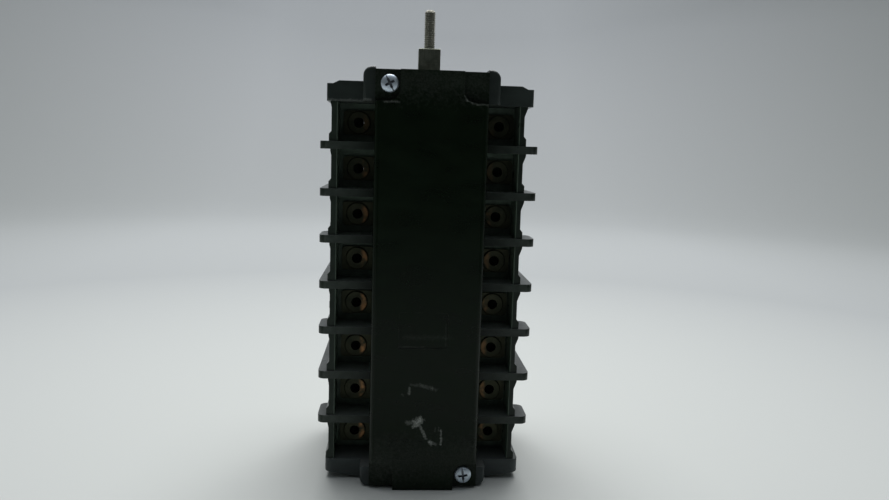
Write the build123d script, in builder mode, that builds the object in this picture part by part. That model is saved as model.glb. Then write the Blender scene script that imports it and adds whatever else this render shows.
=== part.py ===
from build123d import *
import os
from math import asin, cos, degrees, pi, radians, sin

# Rotary control switch: eight contact decks stacked between two end supports,
# clamped by four bolts and closed by two screwed covers. A square shaft carries
# one cam per deck. Each cam moves a front and a rear bridge contact.
# The switch stands on its rear support. X is to the right, Y to the back, Z up
# along the shaft, in millimetres. Deck 1 is the top one, next to the shaft's end.

# Deck stack
deck_count = 8
deck_pitch = 19.05
floor_thickness = 3.175
body_width = 76.6
body_depth = 67.6
wall_setback = 0.8
outer_wall = 2.0
left_wall = 2.4
left_wall_shift = 1.5
lower_rim_proud = 1.0
lower_rim_height = 4.0
lower_rim_slope = 1.2
upper_rim_land = 0.8
left_upper_rim_proud = 0.4
left_upper_rim_height = 2.5
right_upper_rim_proud = 1.2
right_upper_rim_height = 4.0
chamber_width = 38.0
chamber_wall = 2.0
web_thickness = 3.0
arc_barrier_reach = 7.4
arc_barrier_gap = 1.1

# Ears of the deck floors, outside the terminal pockets
ear_reach = 6.1
short_ear_depth = 16.5
ear_corner = 3.0

# End supports
rear_thickness = 8.5
rear_ear_reach = 2.8
rear_ear_rise = 3.0
rear_root_rise = 0.8
rear_block_margin = 3.8
rear_block_round = 3.6
screw_boss_height = 3.0
front_thickness = 13.4
front_flange = 8.1
front_ear_reach = 3.4
front_ear_step = 1.2
front_ear_land_inset = 1.5
front_ear_corner = 1.0
front_block_round = 3.6
rail_width = 4.8
rail_height = 1.2
block_reach = 8.2
block_corner = 1.2

# Covers
cover_width = 44.4
cover_plate = 4.0
cover_side = 2.4
cover_edge = 2.0
cover_bottom_gap = 0.2
cover_end_gap = 0.3
cover_side_gap = 0.1
pad_width = 9.8
top_pad_height = 12.2
bottom_pad_height = 11.0
pad_corner = 5.0
pad_depth = 2.2
tongue_drop = 1.0
label_width = 19.7
label_height = 14.7
label_depth = 0.4
label_centre_x = -1.2
label_centre_z = 67.2

# Cover screws
cover_screw_inset = 5.6
cover_screw_low = 6.4
cover_screw_high = 6.7
cover_screw_radius = 1.45
cover_screw_length = 9.5
cover_screw_head = 3.5
cover_screw_head_height = 2.4
cover_screw_dome = 1.44
cover_screw_hole_gap = 0.05
cover_screw_pad_gap = 0.4
recess_length = 4.2
recess_width = 0.9
recess_depth = 1.2

# Shaft and its bearings
shaft_square = 9.525
shaft_square_reach = 12.0
stud_radius = 2.413
stud_length = 16.8
stud_chamfer = 0.6
journal_radius = 4.0
journal_length = 6.1
shaft_floor_gap = 1.5
running_gap = 0.05
square_gap = 0.05
bush_radius = 7.95
bush_proud = 0.5
clip_thickness = 0.8
clip_radius = 6.5
clip_mouth = 5.2
groove_radius = 3.2
clip_gap = 0.15
clip_recess_radius = 8.0
clip_recess_depth = 3.6

# Cams
cam_radius = 9.6
cam_rise_per_radian = 1.5
cam_flank_half_angle = 60.0
cam_thickness = 8.0
cam_hub_radius = 7.8
cam_hub_gap = 0.3
cam_stack_gap = 0.1
hub_seat_depth = 2.0

# Bridge contacts
nose_gap = 0.15
nose_radius = 3.0
nose_height = 7.0
stem_radius = 3.0
stem_gap = 0.15
head_radius = 4.6
head_thickness = 1.2
bridge_length = 32.0
bridge_height = 6.0
bridge_thickness = 1.6
bridge_corner = 2.0
tip_radius = 2.4
tip_height = 1.2
tip_offset = 12.5
tip_gap = 1.3
rivet_radius = 2.0
rivet_height = 0.8

# Terminals
terminal_hole_inset = 6.4
terminal_plane = 18.6
terminal_thickness = 1.6
terminal_height = 10.0
terminal_wall_gap = 0.5
terminal_inner_x = 8.5
terminal_corner = 1.5
terminal_slot_gap = 0.2
collar_radius = 4.8
collar_height = 0.8
terminal_hole = 2.1
screw_end_hole = 2.7

# Contact springs
spring_wire = 0.3
spring_radius = 4.1
spring_turns = 3.5
spring_seat_radius = 5.0
spring_seat_depth = 1.8
spring_end_gap = 0.05

# Clamping bolts
bolt_inset = 5.8
bolt_y = 6.0
bolt_radius = 2.08
bolt_hole_gap = 0.22
bolt_boss_radius = 4.0
bolt_head_flats = 8.7
bolt_head_height = 3.0
bolt_sink_radius = 5.3
bolt_sink_depth = 4.0
nut_height = 3.0
nut_sink_roof = 3.0

# Detent and stops, inside the front support
detent_cavity_radius = 17.0
detent_cavity_width = 33.6
detent_cavity_depth = 9.0
star_radius = 13.0
star_thickness = 4.6
star_bottom_gap = 0.15
notch_count = 8
notch_radius = 2.6
notch_centre = 13.6
leaf_thickness = 0.6
leaf_height = 4.0
leaf_half_length = 9.0
leaf_bump_radius = 2.0
leaf_wall_gap = 0.15
turn_limit = 45.0
stop_arm_reach = 15.5
stop_arm_width = 6.0
stop_arm_thickness = 2.0
stop_arm_gap = 0.1
stop_pin_radius = 1.5
stop_pin_circle = 13.5
stop_pin_sunk = 2.4
stop_pin_clearance = 1.0
stop_pin_hole_gap = 0.02

# Panel mounting holes in the front support
mount_spacing_x = 38.1
mount_spacing_y = 48.0
mount_hole_radius = 2.1
mount_hole_depth = 9.5

# Levels and planes worked out from the sizes above
wall_height = deck_pitch - floor_thickness
stack_bottom = rear_thickness
stack_height = deck_count * deck_pitch - floor_thickness
stack_top = stack_bottom + stack_height
front_top = stack_top + front_thickness
square_top = front_top + shaft_square_reach
half_width = body_width / 2
half_depth = body_depth / 2
ear_span = body_width + 2 * ear_reach
rear_ear_span = body_width + 2 * rear_ear_reach
front_ear_span = body_width + 2 * front_ear_reach
front_ear_land = half_width - front_ear_land_inset
terminal_outer_x = half_width - outer_wall - terminal_wall_gap
terminal_x = terminal_outer_x - terminal_hole_inset
bolt_x = half_width - bolt_inset
cover_screw_offset = cover_width / 2 - cover_screw_inset
front_block_width = cover_width + 2 * rail_width
rear_block_width = cover_width + 2 * rear_block_margin
arc_barrier_width = cover_width - 2 * (cover_side + arc_barrier_gap)
block_face = half_depth + block_reach
cover_face = block_face + cover_plate
cover_bottom = cover_bottom_gap
cover_top = front_top - rail_height
web_inner = terminal_plane - web_thickness
contact_z = floor_thickness + wall_height / 2
terminal_face = terminal_plane + terminal_thickness
fixed_tip_face = terminal_face + tip_height
moving_tip_face = fixed_tip_face + tip_gap
bridge_back = moving_tip_face + tip_height
bridge_front = bridge_back + bridge_thickness
nose_tip = cam_radius + nose_gap
head_back = nose_tip + nose_radius
head_front = head_back + head_thickness
spring_seat = web_inner + spring_seat_depth
cam_hub_height = deck_pitch - cam_stack_gap
cover_screw_face = cover_face - pad_depth
screw_low_z = cover_screw_low
screw_high_z = front_top - cover_screw_high
star_bottom = stack_top - wall_height / 2 + cam_hub_height / 2 + star_bottom_gap
stop_arm_bottom = star_bottom + star_thickness
detent_roof = stack_top + detent_cavity_depth
chamber_outer = chamber_width / 2 + chamber_wall

# Side walls: way from the middle, outer face, thickness, and the upper rim's size
side_walls = (
    (-1, half_width + left_wall_shift, left_wall, left_upper_rim_proud, left_upper_rim_height),
    (1, half_width, outer_wall, right_upper_rim_proud, right_upper_rim_height),
)
bolt_places = [(x, y) for x in (-bolt_x, bolt_x) for y in (-bolt_y, bolt_y)]
mount_places = [
    (x, y)
    for x in (-mount_spacing_x / 2, mount_spacing_x / 2)
    for y in (-mount_spacing_y / 2, mount_spacing_y / 2)
]


def deck_base(deck):
    """Level of the underside of a deck's floor."""
    return stack_bottom - floor_thickness + (deck_count - deck) * deck_pitch


def save(part, name, place=Location()):
    """Write one piece as its own STEP file, moved to its place in the switch."""
    piece = part.moved(place)
    piece.label = name
    export_step(piece, f"parts/{name}.step")


os.makedirs("parts", exist_ok=True)


# Deck housing: floor with ears, side walls with rims, terminal pockets and cam chamber
def make_housing(with_floor, long_ears):
    with BuildPart() as housing:
        if with_floor:
            with BuildSketch():
                if long_ears:
                    Rectangle(ear_span, body_depth)
                else:
                    with Locations((-left_wall_shift / 2, 0)):
                        floor_width = body_width + left_wall_shift + 2 * lower_rim_proud
                        Rectangle(floor_width, body_depth)
                    ear_y = half_depth - short_ear_depth / 2
                    with Locations((0, -ear_y), (0, ear_y)):
                        Rectangle(ear_span, short_ear_depth)
                outer = [v for v in vertices() if abs(v.X) > ear_span / 2 - ear_corner]
                fillet(outer, ear_corner)
                barrier_depth = 2 * (half_depth + arc_barrier_reach)
                Rectangle(arc_barrier_width, barrier_depth)
                Circle(cam_hub_radius + cam_hub_gap, mode=Mode.SUBTRACT)
            extrude(amount=floor_thickness)

        # Side walls, drawn as their sections and run from front to back
        for side, face, wall, proud, high in side_walls:
            rim_top = floor_thickness + lower_rim_height
            with BuildSketch(Plane.XZ):
                with BuildLine():
                    Polyline(
                        (side * (face - wall), floor_thickness),
                        (side * (face + lower_rim_proud), floor_thickness),
                        (side * (face + lower_rim_proud), rim_top - lower_rim_slope),
                        (side * face, rim_top),
                        (side * face, deck_pitch - high),
                        (side * (face + proud), deck_pitch - upper_rim_land),
                        (side * (face + proud), deck_pitch),
                        (side * (face - wall), deck_pitch),
                        close=True,
                    )
                make_face()
            extrude(amount=half_depth - wall_setback, both=True)

        # Chamber walls, cross webs, and bolt bosses with their ribs
        with BuildSketch(Plane.XY.offset(floor_thickness)):
            chamber_wall_x = (chamber_width + chamber_wall) / 2
            with Locations((-chamber_wall_x, 0), (chamber_wall_x, 0)):
                Rectangle(chamber_wall, body_depth - 2 * wall_setback)
            web_y = web_inner + web_thickness / 2
            with Locations((-left_wall_shift / 2, -web_y), (-left_wall_shift / 2, web_y)):
                Rectangle(body_width + left_wall_shift - outer_wall, web_thickness)
            with Locations(bolt_places):
                Circle(bolt_boss_radius)
            for side, face, wall, _, _ in side_walls:
                rib = face - wall / 2 - bolt_x
                rib_x = side * (bolt_x + rib / 2)
                with Locations((rib_x, -bolt_y), (rib_x, bolt_y)):
                    Rectangle(rib, bolt_boss_radius)
        extrude(amount=wall_height)

        # Bolt holes through floor and bosses
        with BuildSketch():
            with Locations(bolt_places):
                Circle(bolt_radius + bolt_hole_gap)
        extrude(amount=deck_pitch, mode=Mode.SUBTRACT)

        # Slots that let the terminals through the chamber walls, open at the top
        slot_bottom = contact_z - bridge_height / 2 - terminal_slot_gap
        with BuildSketch(Plane.XY.offset(slot_bottom)):
            slot_y = terminal_plane + (terminal_thickness + terminal_slot_gap) / 2
            for x in (-chamber_wall_x, chamber_wall_x):
                with Locations((x, -slot_y), (x, slot_y)):
                    Rectangle(chamber_wall, terminal_thickness + terminal_slot_gap)
        extrude(amount=deck_pitch - slot_bottom, mode=Mode.SUBTRACT)

        # Guide holes for the stems, spring seats, and room for the terminal screws' ends
        with BuildSketch(Plane.XZ):
            with Locations((0, contact_z)):
                Circle(stem_radius + stem_gap)
        extrude(amount=terminal_plane, both=True, mode=Mode.SUBTRACT)
        with BuildSketch(Plane.XZ):
            with Locations((0, contact_z)):
                Circle(spring_seat_radius)
        extrude(amount=spring_seat, both=True, mode=Mode.SUBTRACT)
        for side in (-1, 1):
            with BuildSketch(Plane.XZ.offset(side * web_inner)):
                with Locations((-terminal_x, contact_z), (terminal_x, contact_z)):
                    Circle(screw_end_hole)
            extrude(amount=side * web_thickness, mode=Mode.SUBTRACT)
    return housing.part


housings = {
    "short": make_housing(with_floor=True, long_ears=False),
    "long": make_housing(with_floor=True, long_ears=True),
    "last": make_housing(with_floor=False, long_ears=False),
}
for deck in range(1, deck_count + 1):
    if deck == deck_count:
        kind = "last"
    else:
        kind = "short" if deck % 2 else "long"
    save(housings[kind], f"deck_{deck}_housing", Location((0, 0, deck_base(deck))))


# Terminals: a copper strip in each corner of a deck, from the pocket to the contact
with BuildPart() as terminals:
    with BuildSketch(Plane.XZ.offset(terminal_plane)):
        with BuildLine():
            high = terminal_height / 2
            low = bridge_height / 2
            neck_x = chamber_outer + terminal_slot_gap
            Polyline(
                (terminal_inner_x, contact_z - low),
                (neck_x, contact_z - low),
                (neck_x, contact_z - high),
                (terminal_outer_x, contact_z - high),
                (terminal_outer_x, contact_z + high),
                (neck_x, contact_z + high),
                (neck_x, contact_z + low),
                (terminal_inner_x, contact_z + low),
                close=True,
            )
        make_face()
        fillet([v for v in vertices() if v.X > terminal_x], terminal_corner)
    extrude(amount=terminal_thickness)
    with BuildSketch(Plane.XZ.offset(terminal_face)):
        with Locations((terminal_x, contact_z)):
            Circle(collar_radius)
    extrude(amount=collar_height)
    fillet(
        terminals.edges().filter_by(GeomType.CIRCLE).group_by(Axis.Y)[0],
        collar_height / 2,
    )
    with BuildSketch(Plane.XZ.offset(terminal_plane)):
        with Locations((terminal_x, contact_z)):
            Circle(terminal_hole)
    extrude(amount=terminal_thickness + collar_height, mode=Mode.SUBTRACT)
    mirror(about=Plane.YZ)
    mirror(about=Plane.XZ)

for deck in range(1, deck_count + 1):
    save(terminals.part, f"deck_{deck}_terminals", Location((0, 0, deck_base(deck))))

# Fixed contact tips: a silver button on each terminal, four to a deck
with BuildPart() as fixed_contact_tips:
    for side in (-1, 1):
        for deck in range(1, deck_count + 1):
            with BuildSketch(Plane.XZ.offset(side * terminal_face)):
                tip_z = deck_base(deck) + contact_z
                with Locations((-tip_offset, tip_z), (tip_offset, tip_z)):
                    Circle(tip_radius)
            extrude(amount=side * tip_height)
save(fixed_contact_tips.part, "fixed_contact_tips")


# Cam: two rising flanks joined by two dwell arcs, on a hub with a square bore
def make_cam(high_side):
    flank = radians(cam_flank_half_angle)
    rise = cam_rise_per_radian * flank
    steps = 8
    with BuildPart() as cam:
        with BuildSketch(Plane.XY.offset(contact_z - cam_thickness / 2)):
            with BuildLine():
                for side in (-1, 1):
                    points = []
                    for i in range(steps + 1):
                        turn = flank * (2 * i / steps - 1)
                        radius = cam_radius + high_side * cam_rise_per_radian * turn
                        angle = side * (pi / 2 + turn)
                        points.append((radius * cos(angle), radius * sin(angle)))
                    Spline(*points)
                dwell = 90 - cam_flank_half_angle
                CenterArc((0, 0), cam_radius - high_side * rise, -dwell, 2 * dwell)
                CenterArc((0, 0), cam_radius + high_side * rise, 180 - dwell, 2 * dwell)
            make_face()
        extrude(amount=cam_thickness)
        with BuildSketch(Plane.XY.offset(contact_z - cam_hub_height / 2)):
            Circle(cam_hub_radius)
        extrude(amount=cam_hub_height)
        with BuildSketch(Plane.XY.offset(contact_z - cam_hub_height / 2)):
            Rectangle(shaft_square + 2 * square_gap, shaft_square + 2 * square_gap)
        extrude(amount=cam_hub_height, mode=Mode.SUBTRACT)
    return cam.part


cams = {1: make_cam(high_side=1), 0: make_cam(high_side=-1)}
for deck in range(1, deck_count + 1):
    save(cams[deck % 2], f"deck_{deck}_cam", Location((0, 0, deck_base(deck))))

# Bridge contact: nose, spring head, stem and a copper bridge with two tips, riveted
with BuildPart() as bridge_contact:
    with BuildSketch(Plane.XY.offset(contact_z - nose_height / 2)):
        with Locations((0, -head_back)):
            Circle(nose_radius)
        with Locations((0, -head_back - head_thickness / 2)):
            Rectangle(2 * nose_radius, head_thickness)
        with Locations((0, -head_front - nose_radius)):
            Rectangle(2 * nose_radius, 2 * nose_radius, mode=Mode.SUBTRACT)
    extrude(amount=nose_height)
    with BuildSketch(Plane.XZ.offset(head_back)):
        with Locations((0, contact_z)):
            Circle(head_radius)
    extrude(amount=head_thickness)
    with BuildSketch(Plane.XZ.offset(head_back)):
        with Locations((0, contact_z)):
            Circle(stem_radius)
    extrude(amount=bridge_front - head_back)
    with BuildSketch(Plane.XZ.offset(bridge_back)):
        with Locations((0, contact_z)):
            RectangleRounded(bridge_length, bridge_height, bridge_corner)
    extrude(amount=bridge_thickness)
    with BuildSketch(Plane.XZ.offset(moving_tip_face)):
        with Locations((-tip_offset, contact_z), (tip_offset, contact_z)):
            Circle(tip_radius)
    extrude(amount=tip_height)
    with BuildSketch(Plane.XZ.offset(bridge_front)):
        with Locations((0, contact_z)):
            Circle(rivet_radius)
    extrude(amount=rivet_height)

for deck in range(1, deck_count + 1):
    level = deck_base(deck)
    save(bridge_contact.part, f"deck_{deck}_front_contact", Location((0, 0, level)))
    turned = Location((0, 0, level), (0, 0, 180))
    save(bridge_contact.part, f"deck_{deck}_rear_contact", turned)

# Contact springs: a coil round each stem, between its head and the web
spring_length = spring_seat - head_front - 2 * (spring_wire + spring_end_gap)
with BuildPart() as contact_spring:
    with BuildLine():
        coil = Helix(
            pitch=spring_length / spring_turns,
            height=spring_length,
            radius=spring_radius,
        )
    with BuildSketch(Plane(origin=coil @ 0, z_dir=coil % 0)):
        Circle(spring_wire)
    sweep(path=coil, is_frenet=True)

spring_start = head_front + spring_end_gap + spring_wire
for end, turn in (("front", 0), ("rear", 180)):
    springs = Part(
        children=[
            contact_spring.part.moved(
                Location((0, 0, deck_base(deck) + contact_z), (0, 0, turn))
                * Location((0, -spring_start, 0), (90, 0, 0))
            )
            for deck in range(1, deck_count + 1)
        ]
    )
    save(springs, f"{end}_contact_springs")

# Shaft: rear journal with a clip groove, square body and threaded stud, in one piece
with BuildPart() as shaft:
    with BuildSketch(Plane.XY.offset(shaft_floor_gap)):
        Circle(journal_radius)
    extrude(amount=journal_length)
    with BuildSketch(Plane.XY.offset(shaft_floor_gap + journal_length)):
        Rectangle(shaft_square, shaft_square)
    extrude(amount=square_top - shaft_floor_gap - journal_length)
    chamfer(shaft.faces().sort_by(Axis.Z)[-1].edges(), stud_chamfer)
    with BuildSketch(Plane.XY.offset(square_top)):
        Circle(stud_radius)
    extrude(amount=stud_length)
    chamfer(shaft.faces().sort_by(Axis.Z)[-1].edges(), stud_chamfer)
    clip_bottom = clip_recess_depth - clip_gap - clip_thickness
    with BuildSketch(Plane.XY.offset(clip_bottom)):
        Circle(journal_radius)
        Circle(groove_radius, mode=Mode.SUBTRACT)
    extrude(amount=clip_thickness, mode=Mode.SUBTRACT)
save(shaft.part, "shaft")

# Retaining clip in the shaft's groove
with BuildPart() as retaining_clip:
    with BuildSketch(Plane.XY.offset(clip_bottom + running_gap)):
        Circle(clip_radius)
        Circle(groove_radius + running_gap, mode=Mode.SUBTRACT)
        with Locations((clip_radius / 2, 0)):
            Rectangle(clip_radius, clip_mouth, mode=Mode.SUBTRACT)
    extrude(amount=clip_thickness - 2 * running_gap)
save(retaining_clip.part, "retaining_clip")

# Front bush: turns with the square shaft in the front support
with BuildPart() as front_bush:
    with BuildSketch(Plane.XY.offset(detent_roof)):
        Circle(bush_radius)
        Rectangle(
            shaft_square + 2 * square_gap,
            shaft_square + 2 * square_gap,
            mode=Mode.SUBTRACT,
        )
    extrude(amount=front_top - rail_height + bush_proud - detent_roof)
save(front_bush.part, "front_bush")

# Star wheel: a notch every eighth of a turn for the detent springs
with BuildPart() as star_wheel:
    with BuildSketch(Plane.XY.offset(star_bottom)):
        Circle(star_radius)
        with PolarLocations(notch_centre, notch_count):
            Circle(notch_radius, mode=Mode.SUBTRACT)
        Rectangle(
            shaft_square + 2 * square_gap,
            shaft_square + 2 * square_gap,
            mode=Mode.SUBTRACT,
        )
    extrude(amount=star_thickness)
save(star_wheel.part, "star_wheel")

# Stop arm: swings between the two stop pins
with BuildPart() as stop_arm:
    with BuildSketch(Plane.XY.offset(stop_arm_bottom)):
        Circle(cam_hub_radius)
        with Locations((0, stop_arm_reach / 2)):
            Rectangle(stop_arm_width, stop_arm_reach)
        Rectangle(
            shaft_square + 2 * square_gap,
            shaft_square + 2 * square_gap,
            mode=Mode.SUBTRACT,
        )
    extrude(amount=stop_arm_thickness)
save(stop_arm.part, "stop_arm")

# Stop pins, pressed into the roof of the detent cavity
arm_half_angle = degrees(asin(stop_arm_width / 2 / stop_pin_circle))
pin_half_angle = degrees(asin(stop_pin_radius / stop_pin_circle))
stop_angle = turn_limit + arm_half_angle + pin_half_angle + stop_pin_clearance
stop_pin_places = [
    (
        stop_pin_circle * cos(radians(90 + side * stop_angle)),
        stop_pin_circle * sin(radians(90 + side * stop_angle)),
    )
    for side in (-1, 1)
]
with BuildPart() as stop_pins:
    with BuildSketch(Plane.XY.offset(stop_arm_bottom + stop_arm_gap)):
        with Locations(stop_pin_places):
            Circle(stop_pin_radius)
    extrude(amount=detent_roof + stop_pin_sunk - stop_arm_bottom - stop_arm_gap)
save(stop_pins.part, "stop_pins")

# Detent springs: two bent leaves whose bumps rest in the star wheel's notches
leaf_x = detent_cavity_width / 2 - leaf_wall_gap - leaf_thickness / 2
with BuildPart() as detent_springs:
    with BuildSketch(Plane.XY.offset(star_bottom)):
        with BuildLine():
            bump_x = notch_centre
            Polyline(
                (leaf_x, -leaf_half_length),
                (leaf_x, -2 * leaf_bump_radius),
                (bump_x, -leaf_bump_radius),
            )
            ThreePointArc(
                (bump_x, -leaf_bump_radius),
                (bump_x - leaf_bump_radius, 0),
                (bump_x, leaf_bump_radius),
            )
            Polyline(
                (bump_x, leaf_bump_radius),
                (leaf_x, 2 * leaf_bump_radius),
                (leaf_x, leaf_half_length),
            )
        trace(line_width=leaf_thickness)
        mirror(about=Plane.YZ)
    extrude(amount=leaf_height)
save(detent_springs.part, "detent_springs")

# Rear support: foot of the switch, with tapered ears and a block for the covers
with BuildPart() as rear_support:
    with BuildSketch(Plane.XZ):
        with Locations((0, rear_thickness / 2)):
            Rectangle(rear_block_width, rear_thickness)
        fillet(vertices().group_by(Axis.Y)[0], rear_block_round)
    extrude(amount=block_face, both=True)
    fillet(rear_support.edges().filter_by(Axis.Z), block_corner)
    # Bosses that rise behind the covers and hold their lower screws
    with BuildSketch(Plane.XY.offset(rear_thickness)):
        boss_depth = block_reach - cover_side_gap
        boss_y = half_depth + cover_side_gap + boss_depth / 2
        with Locations((0, -boss_y), (0, boss_y)):
            Rectangle(arc_barrier_width, boss_depth)
    extrude(amount=screw_boss_height)
    with BuildSketch(Plane.XZ):
        with BuildLine():
            Polyline(
                (0, rear_thickness),
                (rear_ear_span / 2, rear_thickness),
                (rear_ear_span / 2, rear_ear_rise),
                (rear_block_width / 2, rear_root_rise),
                (0, rear_root_rise),
                close=True,
            )
        make_face()
        mirror(about=Plane.YZ)
    extrude(amount=half_depth, both=True)
    ear_edges = rear_support.edges().filter_by(Axis.Z).filter_by(
        lambda edge: abs(edge.center().X) > half_width
    )
    fillet(ear_edges, ear_corner)
    # Seat for the last cam's hub, journal bore and recess for the clip
    with BuildSketch(Plane.XY.offset(rear_thickness - hub_seat_depth)):
        Circle(cam_hub_radius + cam_hub_gap)
    extrude(amount=hub_seat_depth, mode=Mode.SUBTRACT)
    with BuildSketch():
        Circle(journal_radius + running_gap)
    extrude(amount=rear_thickness, mode=Mode.SUBTRACT)
    with BuildSketch():
        Circle(clip_recess_radius)
    extrude(amount=clip_recess_depth, mode=Mode.SUBTRACT)
    # Bolt holes with sunk nuts
    with BuildSketch():
        with Locations(bolt_places):
            Circle(bolt_radius + bolt_hole_gap)
    extrude(amount=rear_thickness, mode=Mode.SUBTRACT)
    with BuildSketch():
        with Locations(bolt_places):
            Circle(bolt_sink_radius)
    extrude(amount=rear_thickness - nut_sink_roof, mode=Mode.SUBTRACT)
    # Tapped holes for one screw of each cover
    for side in (-1, 1):
        with BuildSketch(Plane.XZ.offset(side * block_face)):
            with Locations((side * cover_screw_offset, screw_low_z)):
                Circle(cover_screw_radius + cover_screw_hole_gap)
        extrude(amount=-side * cover_screw_length, mode=Mode.SUBTRACT)
save(rear_support.part, "rear_support")

# Front support: flange with ears, a block with two mounting rails, and the detent cavity
with BuildPart() as front_support:
    with BuildSketch(Plane.XZ):
        with Locations((0, stack_top + front_thickness / 2)):
            Rectangle(front_block_width, front_thickness)
        fillet(vertices().group_by(Axis.Y)[-1], front_block_round)
    extrude(amount=block_face, both=True)
    fillet(front_support.edges().filter_by(Axis.Z), block_corner)
    with BuildSketch(Plane.XY.offset(front_top)):
        Rectangle(front_block_width - 2 * rail_width, 2 * block_face)
    extrude(amount=-rail_height, mode=Mode.SUBTRACT)
    with BuildSketch(Plane.XZ):
        with BuildLine():
            land_top = stack_top + front_flange
            Polyline(
                (0, stack_top),
                (front_ear_span / 2, stack_top),
                (front_ear_span / 2, land_top - front_ear_step),
                (front_ear_land + 2 * front_ear_step, land_top - front_ear_step),
                (front_ear_land, land_top),
                (0, land_top),
                close=True,
            )
        make_face()
        mirror(about=Plane.YZ)
    extrude(amount=half_depth, both=True)
    flange_edges = front_support.edges().filter_by(Axis.Z).filter_by(
        lambda edge: abs(edge.center().X) > front_ear_land + 2 * front_ear_step
    )
    fillet(flange_edges, front_ear_corner)
    # Cavity for the star wheel and the leaves, and the bush's hole
    with BuildSketch(Plane.XY.offset(stack_top)):
        Circle(detent_cavity_radius)
        Rectangle(detent_cavity_width, 2 * leaf_half_length + 2 * leaf_wall_gap)
    extrude(amount=detent_cavity_depth, mode=Mode.SUBTRACT)
    with BuildSketch(Plane.XY.offset(detent_roof)):
        Circle(bush_radius + running_gap)
    extrude(amount=front_thickness - detent_cavity_depth, mode=Mode.SUBTRACT)
    with BuildSketch(Plane.XY.offset(detent_roof)):
        with Locations(stop_pin_places):
            Circle(stop_pin_radius + stop_pin_hole_gap)
    extrude(amount=stop_pin_sunk, mode=Mode.SUBTRACT)
    # Bolt holes with sunk heads
    with BuildSketch(Plane.XY.offset(stack_top)):
        with Locations(bolt_places):
            Circle(bolt_radius + bolt_hole_gap)
    extrude(amount=front_flange, mode=Mode.SUBTRACT)
    with BuildSketch(Plane.XY.offset(stack_top + front_flange - bolt_sink_depth)):
        with Locations(bolt_places):
            Circle(bolt_sink_radius)
    extrude(amount=bolt_sink_depth, mode=Mode.SUBTRACT)
    # Tapped holes for the panel screws and for one screw of each cover
    with BuildSketch(Plane.XY.offset(front_top - rail_height)):
        with Locations(mount_places):
            Circle(mount_hole_radius)
    extrude(amount=-mount_hole_depth, mode=Mode.SUBTRACT)
    for side in (-1, 1):
        with BuildSketch(Plane.XZ.offset(side * block_face)):
            with Locations((-side * cover_screw_offset, screw_high_z)):
                Circle(cover_screw_radius + cover_screw_hole_gap)
        extrude(amount=-side * cover_screw_length, mode=Mode.SUBTRACT)
save(front_support.part, "front_support")

# Cover: plate over both supports, side walls between them, and a pad at each corner
pad_x = (cover_width - pad_width) / 2
with BuildPart() as cover:
    with BuildSketch(Plane.XY.offset(cover_bottom)):
        with Locations((0, -block_face - cover_plate / 2)):
            Rectangle(cover_width, cover_plate)
        fillet(vertices().group_by(Axis.Y)[0], cover_edge)
    extrude(amount=cover_top - cover_bottom)
    with BuildSketch(Plane.XY.offset(stack_bottom + cover_end_gap)):
        side_reach = block_reach - cover_side_gap
        side_y = block_face - side_reach / 2
        side_x = (cover_width - cover_side) / 2
        with Locations((-side_x, -side_y), (side_x, -side_y)):
            Rectangle(cover_side, side_reach)
    extrude(amount=stack_height - 2 * cover_end_gap)
    # Recessed pads at the corners, the tongue between the lower two, and the screw holes
    for end_z, reach in ((cover_bottom, bottom_pad_height), (cover_top, -top_pad_height)):
        with BuildSketch(Plane.XZ.offset(cover_screw_face)):
            with Locations((-pad_x, end_z + reach / 2), (pad_x, end_z + reach / 2)):
                Rectangle(pad_width, abs(reach))
            inner_end = vertices().sort_by(lambda v: abs(v.Y - end_z))[-4:]
            fillet(inner_end.sort_by(lambda v: abs(v.X))[:2], pad_corner)
        extrude(amount=pad_depth, mode=Mode.SUBTRACT)
    with BuildSketch(Plane.XZ.offset(block_face)):
        with Locations(
            (-pad_x, cover_bottom + tongue_drop / 2),
            (pad_x, cover_bottom + tongue_drop / 2),
        ):
            Rectangle(pad_width, tongue_drop)
    extrude(amount=cover_plate, mode=Mode.SUBTRACT)
    with BuildSketch(Plane.XZ.offset(block_face)):
        with Locations((-cover_screw_offset, screw_high_z), (cover_screw_offset, screw_low_z)):
            Circle(cover_screw_radius + cover_screw_pad_gap)
    extrude(amount=cover_plate, mode=Mode.SUBTRACT)
    with BuildSketch(Plane.XZ.offset(cover_face - label_depth)):
        with Locations((label_centre_x, label_centre_z)):
            RectangleRounded(label_width, label_height, 2 * label_depth)
    extrude(amount=label_depth, mode=Mode.SUBTRACT)

half_turn = Location((0, 0, 0), (0, 0, 180))
save(cover.part, "front_cover")
save(cover.part, "rear_cover", half_turn)

# Cover screws: domed heads with a cross recess, one high and one low in each cover
with BuildPart() as cover_screws:
    for x, z in ((-cover_screw_offset, screw_high_z), (cover_screw_offset, screw_low_z)):
        screw_plane = Plane(origin=(x, -cover_screw_face, z), z_dir=(0, -1, 0))
        with BuildSketch(screw_plane):
            Circle(cover_screw_head)
        extrude(amount=cover_screw_head_height)
        with BuildSketch(screw_plane):
            Circle(cover_screw_radius)
        extrude(amount=-cover_screw_length)
    dome_edges = cover_screws.edges().filter_by(GeomType.CIRCLE).group_by(Axis.Y)[0]
    fillet(dome_edges, cover_screw_dome)
    for x, z in ((-cover_screw_offset, screw_high_z), (cover_screw_offset, screw_low_z)):
        recess_y = cover_screw_face + cover_screw_head_height
        recess_plane = Plane(origin=(x, -recess_y, z), z_dir=(0, -1, 0))
        with BuildSketch(recess_plane):
            Rectangle(recess_length, recess_width)
            Rectangle(recess_width, recess_length)
        extrude(amount=-recess_depth, mode=Mode.SUBTRACT)
save(cover_screws.part, "front_cover_screws")
save(cover_screws.part, "rear_cover_screws", half_turn)

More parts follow.
